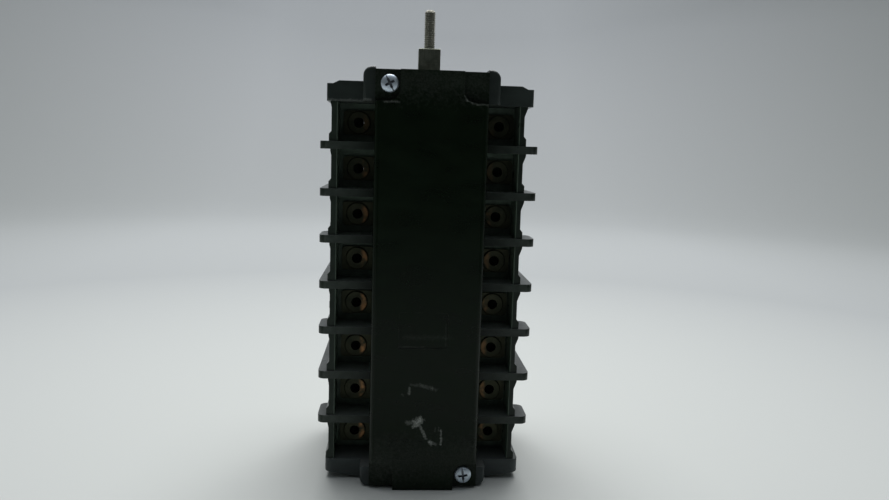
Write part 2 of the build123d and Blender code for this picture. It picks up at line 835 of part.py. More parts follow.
# Clamping bolts with sunk hexagon heads, and their nuts
bolt_head_bottom = stack_top + front_flange - bolt_sink_depth
nut_top = rear_thickness - nut_sink_roof
with BuildPart() as clamping_bolts:
    with BuildSketch(Plane.XY.offset(nut_top - nut_height)):
        with Locations(bolt_places):
            Circle(bolt_radius)
    extrude(amount=bolt_head_bottom - nut_top + nut_height)
    with BuildSketch(Plane.XY.offset(bolt_head_bottom)):
        with Locations(bolt_places):
            RegularPolygon(bolt_head_flats / 2, 6, major_radius=False)
    extrude(amount=bolt_head_height)
save(clamping_bolts.part, "clamping_bolts")

with BuildPart() as clamping_nuts:
    with BuildSketch(Plane.XY.offset(nut_top - nut_height)):
        with Locations(bolt_places):
            RegularPolygon(bolt_head_flats / 2, 6, major_radius=False)
            Circle(bolt_radius + running_gap, mode=Mode.SUBTRACT)
    extrude(amount=nut_height)
save(clamping_nuts.part, "clamping_nuts")
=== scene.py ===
from math import cos, pi, radians, sin, tau

import bmesh
import bpy
from mathutils import Matrix, Vector


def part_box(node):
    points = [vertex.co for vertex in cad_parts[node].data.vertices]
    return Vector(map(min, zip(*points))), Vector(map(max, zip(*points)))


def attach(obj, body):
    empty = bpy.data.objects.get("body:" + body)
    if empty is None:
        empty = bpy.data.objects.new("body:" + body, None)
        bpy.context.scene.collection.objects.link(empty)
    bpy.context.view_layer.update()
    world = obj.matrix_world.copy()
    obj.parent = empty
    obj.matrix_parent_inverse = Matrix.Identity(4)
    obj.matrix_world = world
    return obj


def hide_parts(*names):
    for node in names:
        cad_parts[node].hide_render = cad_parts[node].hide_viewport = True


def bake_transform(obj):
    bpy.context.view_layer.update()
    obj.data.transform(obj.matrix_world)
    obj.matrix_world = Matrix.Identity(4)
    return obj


# Looks of a rotary control switch: black moulded decks and covers, tarnished copper
# terminals, zinc-plated screws and a dull steel shaft with a threaded stud.
# Lengths are in metres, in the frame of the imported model, unless a comment says otherwise.

MM = 0.001
SHARP_ANGLE = 40  # degrees between two faces from which their edge counts as sharp

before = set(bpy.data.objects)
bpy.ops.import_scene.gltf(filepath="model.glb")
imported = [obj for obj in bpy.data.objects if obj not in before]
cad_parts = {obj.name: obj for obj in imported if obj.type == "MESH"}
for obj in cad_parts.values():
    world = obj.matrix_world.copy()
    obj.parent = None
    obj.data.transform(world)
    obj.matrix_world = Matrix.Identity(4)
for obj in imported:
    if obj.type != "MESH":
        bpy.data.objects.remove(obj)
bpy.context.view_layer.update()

DECKS = sum(name.endswith("_housing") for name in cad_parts)
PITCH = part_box("deck_1_housing")[0].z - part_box("deck_2_housing")[0].z


# Small helpers

def new_object(name, data):
    piece = bpy.data.objects.new(name, data)
    bpy.context.scene.collection.objects.link(piece)
    return piece


def coat(piece, *materials):
    """Give a piece these materials and no others."""
    piece.data.materials.clear()
    for material in materials:
        piece.data.materials.append(material)


def shade_by_angle(mesh, sharp_from=SHARP_ANGLE):
    """Shade a mesh smooth, except over edges sharper than this many degrees."""
    mesh.polygons.foreach_set("use_smooth", [True] * len(mesh.polygons))
    mesh.set_sharp_from_angle(angle=radians(sharp_from))


def finish_mesh(name, bm, sharp_from=SHARP_ANGLE):
    """Turn a bmesh into an object, with its faces turned outward and shaded by angle."""
    bmesh.ops.remove_doubles(bm, verts=bm.verts, dist=1e-7)
    bmesh.ops.recalc_face_normals(bm, faces=bm.faces)
    mesh = bpy.data.meshes.new(name)
    bm.to_mesh(mesh)
    bm.free()
    shade_by_angle(mesh, sharp_from)
    return new_object(name, mesh)


def ring(bm, radius, height, segments):
    """New vertices round the Z axis."""
    return [
        bm.verts.new((radius * cos(tau * i / segments), radius * sin(tau * i / segments), height))
        for i in range(segments)
    ]


def dress(node, material, bevel=0.0):
    """Give a CAD node a material, and break its sharp edges by a small bevel."""
    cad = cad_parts[node]
    coat(cad, material)
    if bevel:
        weld = cad.modifiers.new("weld", "WELD")
        weld.merge_threshold = 1e-6
        edge = cad.modifiers.new("edges", "BEVEL")
        edge.width = bevel
        edge.segments = 2
        edge.limit_method = "ANGLE"
        edge.angle_limit = radians(SHARP_ANGLE)
        edge.harden_normals = True


# Shader building

class Shader:
    """A material under construction: a Principled shader and the nodes that feed it."""

    def __init__(self, name):
        self.material = bpy.data.materials.new(name)
        self.material.use_nodes = True
        self.tree = self.material.node_tree
        self.surface = self.tree.nodes["Principled BSDF"]
        self.place = self.add("ShaderNodeTexCoord").outputs["Object"]

    def add(self, kind, **values):
        node = self.tree.nodes.new(kind)
        for key, value in values.items():
            setattr(node, key, value)
        return node

    def link(self, source, target):
        self.tree.links.new(source, target)

    def noise(self, per_metre, detail=4, roughness=0.55, stretch=(1, 1, 1)):
        """Noise with so many features to the metre, from 0 to 1 about 0.5."""
        place = self.add("ShaderNodeMapping")
        place.inputs["Scale"].default_value = stretch
        self.link(self.place, place.inputs["Vector"])
        texture = self.add("ShaderNodeTexNoise")
        texture.inputs["Scale"].default_value = per_metre
        texture.inputs["Detail"].default_value = detail
        texture.inputs["Roughness"].default_value = roughness
        self.link(place.outputs["Vector"], texture.inputs["Vector"])
        return texture.outputs["Fac"]

    def steps(self, value, low, high, out_low=0.0, out_high=1.0):
        """Map low..high to out_low..out_high, held at both ends."""
        ramp = self.add("ShaderNodeMapRange", clamp=True)
        ramp.inputs["From Min"].default_value = low
        ramp.inputs["From Max"].default_value = high
        ramp.inputs["To Min"].default_value = out_low
        ramp.inputs["To Max"].default_value = out_high
        self.link(value, ramp.inputs["Value"])
        return ramp.outputs["Result"]

    def maths(self, operation, a, b=None):
        """A scalar operation on one or two values, each a number or a socket."""
        node = self.add("ShaderNodeMath", operation=operation)
        for socket, value in zip(node.inputs, (a, b)):
            if value is None:
                continue
            if isinstance(value, (int, float)):
                socket.default_value = value
            else:
                self.link(value, socket)
        return node.outputs["Value"]

    def times(self, product, *factors):
        """Product of numbers and sockets, from left to right."""
        for factor in factors:
            product = self.maths("MULTIPLY", product, factor)
        return product

    def mix(self, factor, first, second):
        """Colour between first and second, each a colour or a socket."""
        node = self.add("ShaderNodeMix", data_type="RGBA")
        self.link(factor, node.inputs["Factor"])
        for socket, value in zip((node.inputs[6], node.inputs[7]), (first, second)):
            if isinstance(value, tuple):
                socket.default_value = (*value, 1)
            else:
                self.link(value, socket)
        return node.outputs[2]

    def bump(self, height, distance, strength):
        node = self.add("ShaderNodeBump")
        node.inputs["Distance"].default_value = distance
        node.inputs["Strength"].default_value = strength
        self.link(height, node.inputs["Height"])
        self.link(node.outputs["Normal"], self.surface.inputs["Normal"])

    def split(self, source=None):
        """The X, Y and Z sockets of a vector, the object's own place if none is named."""
        parts = self.add("ShaderNodeSeparateXYZ")
        self.link(source or self.place, parts.inputs["Vector"])
        return parts.outputs

    def edges(self, radius):
        """1 on sharp outward edges, 0 elsewhere, from the bevelled normal."""
        bevel = self.add("ShaderNodeBevel", samples=4)
        bevel.inputs["Radius"].default_value = radius
        geometry = self.add("ShaderNodeNewGeometry")
        dot = self.add("ShaderNodeVectorMath", operation="DOT_PRODUCT")
        self.link(bevel.outputs["Normal"], dot.inputs[0])
        self.link(geometry.outputs["Normal"], dot.inputs[1])
        return self.steps(dot.outputs["Value"], 0.995, 0.90)

    def upward(self):
        """1 where the surface faces up, 0 where it is upright or faces down."""
        geometry = self.add("ShaderNodeNewGeometry")
        return self.steps(self.split(geometry.outputs["Normal"])["Z"], 0.3, 0.95)

    def stroke(self, start, end, radius, ragged):
        """1 along the line from start to end, fading to 0 at the radius, all in millimetres.

        start and end are (x, z) on the front face, and ragged is noise that frays the line.
        """
        a = Vector((start[0], 0, start[1])) * MM
        b = Vector((end[0], 0, end[1])) * MM
        flat = self.add("ShaderNodeVectorMath", operation="MULTIPLY")
        self.link(self.place, flat.inputs[0])
        flat.inputs[1].default_value = (1, 0, 1)
        from_a = self.add("ShaderNodeVectorMath", operation="SUBTRACT")
        self.link(flat.outputs["Vector"], from_a.inputs[0])
        from_a.inputs[1].default_value = a
        along = self.add("ShaderNodeVectorMath", operation="DOT_PRODUCT")
        self.link(from_a.outputs["Vector"], along.inputs[0])
        along.inputs[1].default_value = (b - a) / (b - a).length_squared
        foot = self.add("ShaderNodeVectorMath", operation="SCALE")
        foot.inputs[0].default_value = b - a
        self.link(self.steps(along.outputs["Value"], 0, 1), foot.inputs["Scale"])
        off = self.add("ShaderNodeVectorMath", operation="DISTANCE")
        self.link(from_a.outputs["Vector"], off.inputs[0])
        self.link(foot.outputs["Vector"], off.inputs[1])
        frayed = self.times(self.steps(ragged, 0.3, 0.7, -1, 1), 0.45 * radius * MM)
        distance = self.maths("ADD", off.outputs["Value"], frayed)
        return self.steps(distance, radius * MM, radius * 0.1 * MM)


# Mouldings

# Terminal pockets: middle and half width between the side walls, and how far out the deck
# floors' front and rear edges lie, in millimetres
POCKET_MIDDLE, POCKET_EDGE = -0.55, 36.9
FLOOR_EDGE = 33.8
# Painted light inside the terminal pockets
POCKET_PAINTED_LIGHT = (0.190, 0.255, 0.200)
# Painted shade that darkens the pockets towards the switch's middle
POCKET_SHADE = (0.002, 0.003, 0.002)
TOP_DUST = (0.160, 0.170, 0.165)
# Pale grey for the scuffs and for the painted highlights and light on front faces
SCUFF_AND_LIGHT_GREY = (0.36, 0.38, 0.35)

# Scuffs and painted light on the front cover: start and end as (x, z), half width, all in
# millimetres, and strength. Those at z 157 to 161 are painted highlights on the top pads'
# lower edges; the faint lines at z 60 to 70 painted highlights on the label recess's edges;
# the weak band at z 64.4 a paler band across the label's bare place; the weak wide bands at
# z 166.5 and 13 painted light at the cover's top and bottom; the weak patch at z 9 a paler
# patch at the lower left. The rest are scuffs.
SCUFFS_AND_PAINTED_LIGHT = [
    ((-7.0, 28.8), (-4.2, 29.0), 1.1, 0.34), ((-3.6, 28.3), (-1.6, 29.8), 2.0, 0.95),
    ((-1.9, 28.2), (0.9, 22.2), 0.85, 0.50), ((2.7, 20.8), (3.3, 20.2), 1.25, 0.80),
    ((3.4, 20.1), (4.9, 19.7), 0.7, 0.30), ((7.1, 25.6), (7.1, 19.8), 0.6, 0.55),
    ((6.0, 27.0), (6.0, 25.4), 0.4, 0.14), ((4.6, 26.9), (4.6, 25.2), 0.4, 0.12),
    ((-6.3, 43.4), (-6.3, 41.0), 0.7, 0.42), ((-5.6, 44.9), (-1.8, 44.6), 0.9, 0.13),
    ((-1.8, 44.6), (4.6, 42.9), 1.0, 0.17), ((2.9, 44.2), (3.1, 42.6), 0.5, 0.14),
    ((-9.5, 41.0), (-8.7, 40.3), 0.5, 0.12),
    # Painted highlights along the lower edges of the cover's top pads
    ((-18.5, 157.3), (-12.6, 157.5), 0.55, 0.26), ((12.3, 160.6), (13.6, 158.6), 0.45, 0.16),
    ((13.6, 158.6), (17.4, 157.3), 0.55, 0.30), ((17.4, 157.3), (21.8, 157.3), 0.5, 0.20),
    # Painted highlights along the label recess's lower and right edges, a paler band across its
    # bare place, painted light at the cover's top and bottom, and a paler patch at the lower left
    ((-11.0, 60.4), (-1.0, 60.4), 0.5, 0.060), ((7.9, 61.0), (7.9, 70.0), 0.45, 0.045),
    ((-8.5, 64.4), (9.5, 64.4), 1.4, 0.036), ((-19.0, 166.5), (19.0, 166.5), 10.5, 0.066),
    ((-19.0, 13.0), (19.0, 13.0), 12.0, 0.048), ((-20.0, 9.0), (-17.0, 9.0), 7.0, 0.040),
]
# A painted highlight along the front support's lower front edge, in the same columns
SUPPORT_PAINTED_HIGHLIGHT = [((-41.0, 158.1), (-24.0, 158.1), 0.7, 0.34)]


def painted_pocket_light_and_edge_wear(s, base, wear_and_painted_light, rubbed_and_painted_light):
    """Paint shade towards the middle and on the right, paint light in the pockets, and grey the
    floors' outer edges with edge wear and painted light, stronger outward and on the left.
    """
    outward = s.maths("ABSOLUTE", s.split()["Y"])
    aside = s.maths("ABSOLUTE", s.maths("SUBTRACT", s.split()["X"], POCKET_MIDDLE * MM))
    # Painted shade: darker on the right than on the left
    painted_side_shade = s.steps(s.split()["X"], -20 * MM, 20 * MM, 1.0, 0.72)
    # Painted shade towards the middle, in the pocket shade colour
    painted_lit_share = s.times(painted_side_shade, s.steps(aside, 22 * MM, 37 * MM, 0.45, 1.0))
    base = s.mix(painted_lit_share, POCKET_SHADE, base)
    # Painted light inside the pockets, patchy
    painted_pocket_light = s.times(
        s.steps(aside, (POCKET_EDGE + 0.3) * MM, POCKET_EDGE * MM),
        s.steps(outward, (rubbed_and_painted_light - 0.1) * MM, (rubbed_and_painted_light - 0.5) * MM),
        s.steps(s.noise(260, detail=5), 0.3, 0.7, 0.55, 0.95),
    )
    base = s.mix(painted_pocket_light, base, POCKET_PAINTED_LIGHT)
    # Edge wear on the floors' front and rear faces, with painted light making it stronger outward
    # and on the left
    edge_wear_and_painted_light = s.times(
        s.steps(outward, (rubbed_and_painted_light - 0.25) * MM, rubbed_and_painted_light * MM),
        s.steps(aside, 24 * MM, 42 * MM, 0.10, 1.0),
        painted_side_shade,
        s.steps(s.noise(300, detail=6), 0.3, 0.7, 0.15, 0.60),
    )
    return s.mix(edge_wear_and_painted_light, base, wear_and_painted_light)


def paint_front_scuffs_and_light(s, base, marks):
    """Pale, patchy scuffs, painted highlights and painted light on the front face."""
    ragged = s.noise(900, detail=3)
    patchy_front = s.times(
        s.steps(s.split()["Y"], 0.0, -10 * MM),
        s.steps(s.noise(1500, detail=5), 0.36, 0.58, 0.35, 1.0),
    )
    for start, end, half_width, strength in marks:
        stroke_mask = s.stroke(start, end, half_width, ragged)
        base = s.mix(s.times(stroke_mask, patchy_front, strength), base, SCUFF_AND_LIGHT_GREY)
    return base


def moulded(name, colour, wear_and_painted_light, roughness, dust, rubbed_and_painted_light=None, marks=()):
    """Black phenolic moulding: faint flow marks, fine grain, edge wear with painted highlights,
    dust on top.

    rubbed_and_painted_light is how far out the floors' front and rear edges lie, which bounds
    the edge wear and the painted light there, in millimetres, and marks are scuffs, painted
    highlights and painted light on the front face.
    """
    s = Shader(name)
    flow = s.noise(60, detail=6, stretch=(1, 1, 2.5))
    grain = s.noise(2600, detail=2)
    # Edge wear, partly painted highlights along the sharp edges
    worn_and_highlit_edge = s.times(s.edges(0.35 * MM), s.steps(s.noise(240), 0.42, 0.62))
    base = s.mix(s.steps(flow, 0.35, 0.7), colour, tuple(c * 1.5 for c in colour))
    base = s.mix(s.times(worn_and_highlit_edge, 0.55), base, wear_and_painted_light)
    if rubbed_and_painted_light:
        base = painted_pocket_light_and_edge_wear(s, base, wear_and_painted_light, rubbed_and_painted_light)
    if marks:
        base = paint_front_scuffs_and_light(s, base, marks)
    settled = s.times(s.upward(), s.steps(s.noise(420, detail=5), 0.2, 0.7, 0.55, 1.0))
    base = s.mix(s.times(settled, dust), base, TOP_DUST)
    s.link(base, s.surface.inputs["Base Color"])
    uneven = s.steps(flow, 0.3, 0.7, roughness - 0.06, roughness + 0.08)
    s.link(uneven, s.surface.inputs["Roughness"])
    s.surface.inputs["Specular IOR Level"].default_value = 0.16
    s.bump(s.maths("ADD", grain, s.times(flow, 2.0)), 0.012 * MM, 0.6)
    return s.material


# Metals

# Terminals: how far a strip's screw hole lies in from its outer end, over which distances
# from the hole's middle the bright ring fades in and out, how far towards the switch's
# middle it begins, and between which heights it weakens, in millimetres. The ring is
# partly wear by the screws and partly painted highlight: it keeps to the inner side and
# weakens on the right and higher up
HOLE_INSET = 6.4
RING_IN, RING_OUT = (1.9, 2.4), (4.8, 3.9)
INNER_SIDE = (-1.4, -2.8)
WEAKENING_HEIGHTS = (70, 150)
TARNISH, DEEP_TARNISH = (0.070, 0.073, 0.047), (0.034, 0.040, 0.028)
RUBBED_COPPER_AND_HIGHLIGHT = (0.36, 0.18, 0.080)


def metal(name, colour, dark, roughness, tarnish, brushed=(1, 1, 1)):
    """Plated or bare metal, with patches of tarnish and a fine brushed grain."""
    s = Shader(name)
    patches = s.steps(s.noise(180, detail=7, roughness=0.6), 0.40, 0.66)
    fine = s.noise(1500, detail=3, stretch=brushed)
    base = s.mix(s.times(patches, tarnish), colour, dark)
    base = s.mix(s.steps(fine, 0.35, 0.75, 0.0, 0.35), base, dark)
    s.link(base, s.surface.inputs["Base Color"])
    s.surface.inputs["Metallic"].default_value = 1.0
    dulled = s.steps(patches, 0, 1, roughness, roughness + 0.22 * tarnish)
    s.link(dulled, s.surface.inputs["Roughness"])
    s.bump(fine, 0.008 * MM, 0.5)
    return s.material


def tarnished_terminals():
    """Dark brown copper with a bright crescent at each hole: wear by the screws, and painted
    highlight on the inner side, weaker on the right and higher up.
    """
    s = Shader("aged_copper")
    place = s.split()
    low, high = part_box("deck_1_terminals")
    level = s.maths("SUBTRACT", place["Z"], (low.z + high.z) / 2)
    stage = s.maths("ROUND", s.maths("DIVIDE", level, PITCH))
    height = s.maths("SUBTRACT", level, s.times(stage, PITCH))
    across = s.maths("SUBTRACT", s.maths("ABSOLUTE", place["X"]), high.x - HOLE_INSET * MM)
    squares = s.maths("ADD", s.maths("POWER", across, 2), s.maths("POWER", height, 2))
    out = s.maths("SQRT", squares)
    rubbed_and_painted_light = s.times(
        s.steps(out, RING_IN[0] * MM, RING_IN[1] * MM),
        s.steps(out, RING_OUT[0] * MM, RING_OUT[1] * MM),
    )
    # Painted highlight: the ring kept to the inner side, weaker on the right and on higher decks
    rubbed_and_painted_light = s.times(
        rubbed_and_painted_light,
        s.steps(across, INNER_SIDE[0] * MM, INNER_SIDE[1] * MM),
        s.steps(s.noise(330, detail=5), 0.38, 0.58),
        s.steps(place["X"], -1 * MM, 1 * MM, 0.80, 0.38),
        s.steps(place["Z"], WEAKENING_HEIGHTS[0] * MM, WEAKENING_HEIGHTS[1] * MM, 1.0, 0.35),
    )
    cloudy = s.steps(s.noise(150, detail=7, roughness=0.6), 0.35, 0.68)
    base = s.mix(rubbed_and_painted_light, s.mix(cloudy, TARNISH, DEEP_TARNISH), RUBBED_COPPER_AND_HIGHLIGHT)
    s.link(base, s.surface.inputs["Base Color"])
    s.surface.inputs["Metallic"].default_value = 1.0
    s.link(s.steps(rubbed_and_painted_light, 0, 1, 0.50, 0.30), s.surface.inputs["Roughness"])
    s.bump(s.noise(1300, detail=3), 0.010 * MM, 0.5)
    return s.material


# The switch's materials

HOUSING = moulded(
    "housing_phenolic", (0.0240, 0.0330, 0.0255), (0.110, 0.126, 0.116), 0.32, 0.95,
    rubbed_and_painted_light=FLOOR_EDGE)
FRONT_SUPPORT = moulded(
    "front_support_phenolic", (0.0300, 0.0380, 0.0345), (0.095, 0.106, 0.102), 0.33, 0.80,
    marks=SUPPORT_PAINTED_HIGHLIGHT)
REAR_SUPPORT = moulded(
    "rear_support_phenolic", (0.0470, 0.0560, 0.0560), (0.110, 0.122, 0.118), 0.33, 0.80)
COVER = moulded(
    "cover_phenolic", (0.0022, 0.0068, 0.0020), (0.050, 0.057, 0.046), 0.30, 0.40, marks=SCUFFS_AND_PAINTED_LIGHT)
CAM = moulded("cam_moulding", (0.110, 0.060, 0.028), (0.25, 0.17, 0.10), 0.50, 0.10)
COPPER = tarnished_terminals()
BRIDGE = metal("contact_brass", (0.62, 0.44, 0.22), (0.22, 0.14, 0.07), 0.32, 0.6)
SILVER = metal("contact_silver", (0.72, 0.70, 0.66), (0.20, 0.18, 0.16), 0.30, 0.6)
# Darker, rougher metal inside the screw recesses
RECESS_METAL = metal("recess_dark_metal", (0.36, 0.39, 0.44), (0.10, 0.105, 0.11), 0.50, 0.8)
ZINC = metal("zinc_plate", (0.80, 0.90, 1.00), (0.48, 0.55, 0.62), 0.44, 0.45)
STEEL = metal("plain_steel", (0.36, 0.35, 0.33), (0.12, 0.11, 0.10), 0.36, 0.6)
SHAFT = metal(
    "dull_shaft_steel", (0.285, 0.300, 0.245), (0.080, 0.086, 0.064), 0.42, 0.8,
    brushed=(1, 1, 0.1))
STUD = metal("thread_steel", (0.45, 0.445, 0.385), (0.18, 0.175, 0.15), 0.40, 0.5)
SPRING = metal("spring_steel", (0.45, 0.45, 0.44), (0.16, 0.16, 0.16), 0.30, 0.4)
BRONZE = metal("bearing_bronze", (0.42, 0.30, 0.15), (0.15, 0.10, 0.05), 0.38, 0.7)

for deck in range(1, DECKS + 1):
    dress(f"deck_{deck}_housing", HOUSING, 0.22 * MM)
    dress(f"deck_{deck}_terminals", COPPER, 0.12 * MM)
    dress(f"deck_{deck}_cam", CAM, 0.15 * MM)
    for end in ("front", "rear"):
        dress(f"deck_{deck}_{end}_contact", BRIDGE, 0.1 * MM)
dress("front_support", FRONT_SUPPORT, 0.25 * MM)
dress("rear_support", REAR_SUPPORT, 0.25 * MM)
dress("front_cover", COVER, 0.2 * MM)
dress("rear_cover", COVER, 0.2 * MM)
dress("clamping_bolts", STEEL, 0.15 * MM)
dress("clamping_nuts", STEEL, 0.15 * MM)
dress("retaining_clip", SPRING)
dress("front_bush", BRONZE, 0.1 * MM)
dress("star_wheel", STEEL, 0.1 * MM)
dress("stop_arm", STEEL, 0.1 * MM)
dress("stop_pins", STEEL)
dress("detent_springs", SPRING)
dress("fixed_contact_tips", SILVER)


# Shaft with its thread, chamfers and rounded edges

def skin(bm, rings):
    """Faces between rings with equal numbers of points, closed by a cap at each end."""
    rows = [[bm.verts.new(point) for point in points] for points in rings]
    for a, b in zip(rows, rows[1:]):
        for i in range(len(a)):
            j = (i + 1) % len(a)
            bm.faces.new((a[i], a[j], b[j], b[i]))
    bm.faces.new(list(reversed(rows[0])))
    bm.faces.new(rows[-1])


def square_section(half, corner_radius):
    """Points round a square with rounded corners, as (x, y)."""
    points = []
    inner = half - corner_radius
    for quarter in range(4):
        swing = Matrix.Rotation(quarter * pi / 2, 2)
        for i in range(9):
            points.append(swing @ Vector((half, inner * (i / 4 - 1))))
        for i in range(1, 6):
            turn = pi / 2 * i / 6
            arc = Vector((cos(turn), sin(turn))) * corner_radius
            points.append(swing @ (Vector((inner, inner)) + arc))
    return points


def thread_depth(phase):
    """Share of the thread's depth, from 0 at the crest to 1 at the root, over one pitch."""
    from_crest = abs(phase % 1 - 0.5) * 2
    return min(max(from_crest * 1.5 - 0.32, 0.0), 1.0)


def heading_angle(heading):
    """Angle of a unit vector in the X-Y plane, from 0 to a full turn."""
    return heading.angle_signed(Vector((1, 0)), 0) % tau


def make_shaft():
    """Journal with a clip groove, square body, and stud with a real thread, as one skin."""
    low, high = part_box("shaft")
    half = (high.x - low.x) / 2
    journal, journal_top, journal_chamfer = 4.0 * MM, low.z + 6.1 * MM, 0.4 * MM
    groove, groove_low, groove_high = 3.2 * MM, low.z + 1.15 * MM, low.z + 1.95 * MM
    stud, stud_length, pitch, deep = 2.413 * MM, 16.8 * MM, 0.794 * MM, 0.36 * MM
    shoulder = high.z - stud_length
    relief, relief_length = 2.2 * MM, 0.4 * MM
    tip, tip_length, tip_gap = 1.5 * MM, 0.6 * MM, 0.1 * MM
    chamfer, corner_radius, rows_per_pitch = 0.25 * MM, 0.45 * MM, 8

    section = square_section(half, corner_radius)
    headings = [p.normalized() for p in section]

    def circle(radius, z):
        return [(h.x * radius, h.y * radius, z) for h in headings]

    def square(scale, z):
        return [(p.x * scale, p.y * scale, z) for p in section]

    thread_start = shoulder + relief_length
    thread_end = high.z - tip_length - tip_gap
    rings = [
        circle(journal - journal_chamfer, low.z), circle(journal, low.z + journal_chamfer),
        circle(journal, groove_low), circle(groove, groove_low),
        circle(groove, groove_high), circle(journal, groove_high),
        circle(journal, journal_top), square(1, journal_top),
        square(1, shoulder - chamfer), square(1 - chamfer / half, shoulder),
        circle(relief, shoulder), circle(relief, thread_start),
    ]
    count = round((thread_end - thread_start) / pitch * rows_per_pitch)
    for row in range(1, count + 1):
        z = thread_start + (thread_end - thread_start) * row / count
        fade = min(1.0, (z - thread_start) / pitch)
        points = []
        for h in headings:
            cut_in = thread_depth((z - thread_start) / pitch - heading_angle(h) / tau) * deep
            radius = relief + (stud - cut_in - relief) * fade
            points.append((h.x * radius, h.y * radius, z))
        rings.append(points)
    rings += [circle(stud - deep, high.z - tip_length), circle(tip, high.z)]
    bm = bmesh.new()
    skin(bm, rings)
    shaft = finish_mesh("shaft_detail", bm)
    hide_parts("shaft")
    coat(shaft, SHAFT, STUD)
    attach(shaft, "shaft")
    for face in shaft.data.polygons:
        face.material_index = 1 if face.center.z > shoulder + relief_length / 2 else 0


make_shaft()


# Cover screws: pan heads with a cross recess and a slot

SCREW_HEAD, SCREW_TALL = 3.5 * MM, 2.4 * MM


def revolve(bm, outline, segments):
    """Turn an outline of (radius, height) points about Z, the first and last on the axis."""
    rings = [ring(bm, radius, height, segments) for radius, height in outline[1:-1]]
    first = bm.verts.new((0, 0, outline[0][1]))
    last = bm.verts.new((0, 0, outline[-1][1]))
    for i in range(segments):
        j = (i + 1) % segments
        bm.faces.new((first, rings[0][j], rings[0][i]))
        bm.faces.new((last, rings[-1][i], rings[-1][j]))
        for a, b in zip(rings, rings[1:]):
            bm.faces.new((a[i], a[j], b[j], b[i]))


def tapered_bar(bm, length, width, top, depth, shrink):
    """A bar along X whose section narrows downward, for cutting a recess."""
    upper, lower = [
        [
            bm.verts.new((x * length / 2 * long_share, y * width / 2 * wide_share, z))
            for x, y in ((-1, -1), (1, -1), (1, 1), (-1, 1))
        ]
        for long_share, wide_share, z in ((1, 1, top), (shrink, 0.75, top - depth))
    ]
    bm.faces.new(list(reversed(lower)))
    bm.faces.new(upper)
    for i in range(4):
        j = (i + 1) % 4
        bm.faces.new((lower[i], lower[j], upper[j], upper[i]))


def cut(target, cutter):
    """Subtract one object from another for good, and remove the cutter."""
    modifier = target.modifiers.new("cut", "BOOLEAN")
    modifier.operation = "DIFFERENCE"
    modifier.solver = "EXACT"
    modifier.object = cutter
    depsgraph = bpy.context.evaluated_depsgraph_get()
    mesh = bpy.data.meshes.new_from_object(target.evaluated_get(depsgraph))
    target.modifiers.remove(modifier)
    target.data = mesh
    bpy.data.objects.remove(cutter)


def make_screw(name, place, out, spin):
    """One pan-head screw, its head's seat at place and its axis along out."""
    head, tall, shank, reach = SCREW_HEAD, SCREW_TALL, 1.45 * MM, 9.5 * MM
    pitch, deep = 0.79 * MM, 0.30 * MM
    rim, swell = 0.42, 0.58  # shares of the head's height: its rim, and the dome above it
    dome = [
        (head * sin(pi / 2 * (1 - i / 8)) ** 0.9, tall * (rim + swell * sin(pi / 2 * i / 8)))
        for i in range(8)
    ]
    outline = [(0, -reach), (shank * 0.55, -reach), (shank, -reach + 0.6 * MM)]
    for k in range(int((reach - 2.2 * MM) / pitch)):
        z = -reach + 0.8 * MM + k * pitch
        outline += [(shank, z), (shank - deep, z + pitch * 0.5)]
    outline += [(shank, -0.9 * MM), (shank, 0), (head * 0.96, 0), (head, 0.12 * MM)]
    outline += dome + [(0, tall)]
    bm = bmesh.new()
    revolve(bm, outline, 48)
    screw = finish_mesh(name, bm)
    arm, slot = (4.4 * MM, 1.0 * MM, 2.2 * MM, 0.5), (2.3 * head, 0.6 * MM, 1.2 * MM, 1.0)
    for (length, width, depth, shrink), heading in ((arm, 0), (arm, pi / 2), (slot, pi / 2)):
        bm = bmesh.new()
        tapered_bar(bm, length, width, tall + 0.3 * MM, depth, shrink)
        bmesh.ops.rotate(bm, verts=bm.verts, matrix=Matrix.Rotation(heading, 3, "Z"))
        cut(screw, finish_mesh("bar_cutter", bm))
    coat(screw, ZINC, RECESS_METAL)
    for face in screw.data.polygons:
        out_share = min(face.center.xy.length / head, 1.0)
        domed = tall * (rim + swell * (1 - out_share ** 2.22) ** 0.5)
        inside = 0.2 * MM < face.center.z < domed - 0.15 * MM and out_share < 0.97
        face.material_index = 1 if inside else 0
    turned = Matrix.Rotation(spin, 4, "Z")
    aim = Vector(out).to_track_quat("Z", "Y").to_matrix().to_4x4()
    screw.data.transform(Matrix.Translation(place) @ aim @ turned)
    shade_by_angle(screw.data)
    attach(screw, "root")
    return screw


def make_cover_screws(node, out_y, spins):
    """The two screws of a cover: one high and one low, on opposite sides."""
    low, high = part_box(node)
    seat_y = low.y + SCREW_TALL if out_y < 0 else high.y - SCREW_TALL
    left, right = low.x + SCREW_HEAD, high.x - SCREW_HEAD
    high_x, low_x = (left, right) if out_y < 0 else (right, left)
    high_place = (high_x, seat_y, high.z - SCREW_HEAD)
    low_place = (low_x, seat_y, low.z + SCREW_HEAD)
    upper = make_screw(node + "_upper", high_place, (0, out_y, 0), spins[0])
    lower = make_screw(node + "_lower", low_place, (0, out_y, 0), spins[1])
    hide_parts(node)
    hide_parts(node)


make_cover_screws("front_cover_screws", -1, (radians(28), radians(8)))
make_cover_screws("rear_cover_screws", 1, (radians(-15), radians(40)))


# Contact springs: one coil to each bridge contact

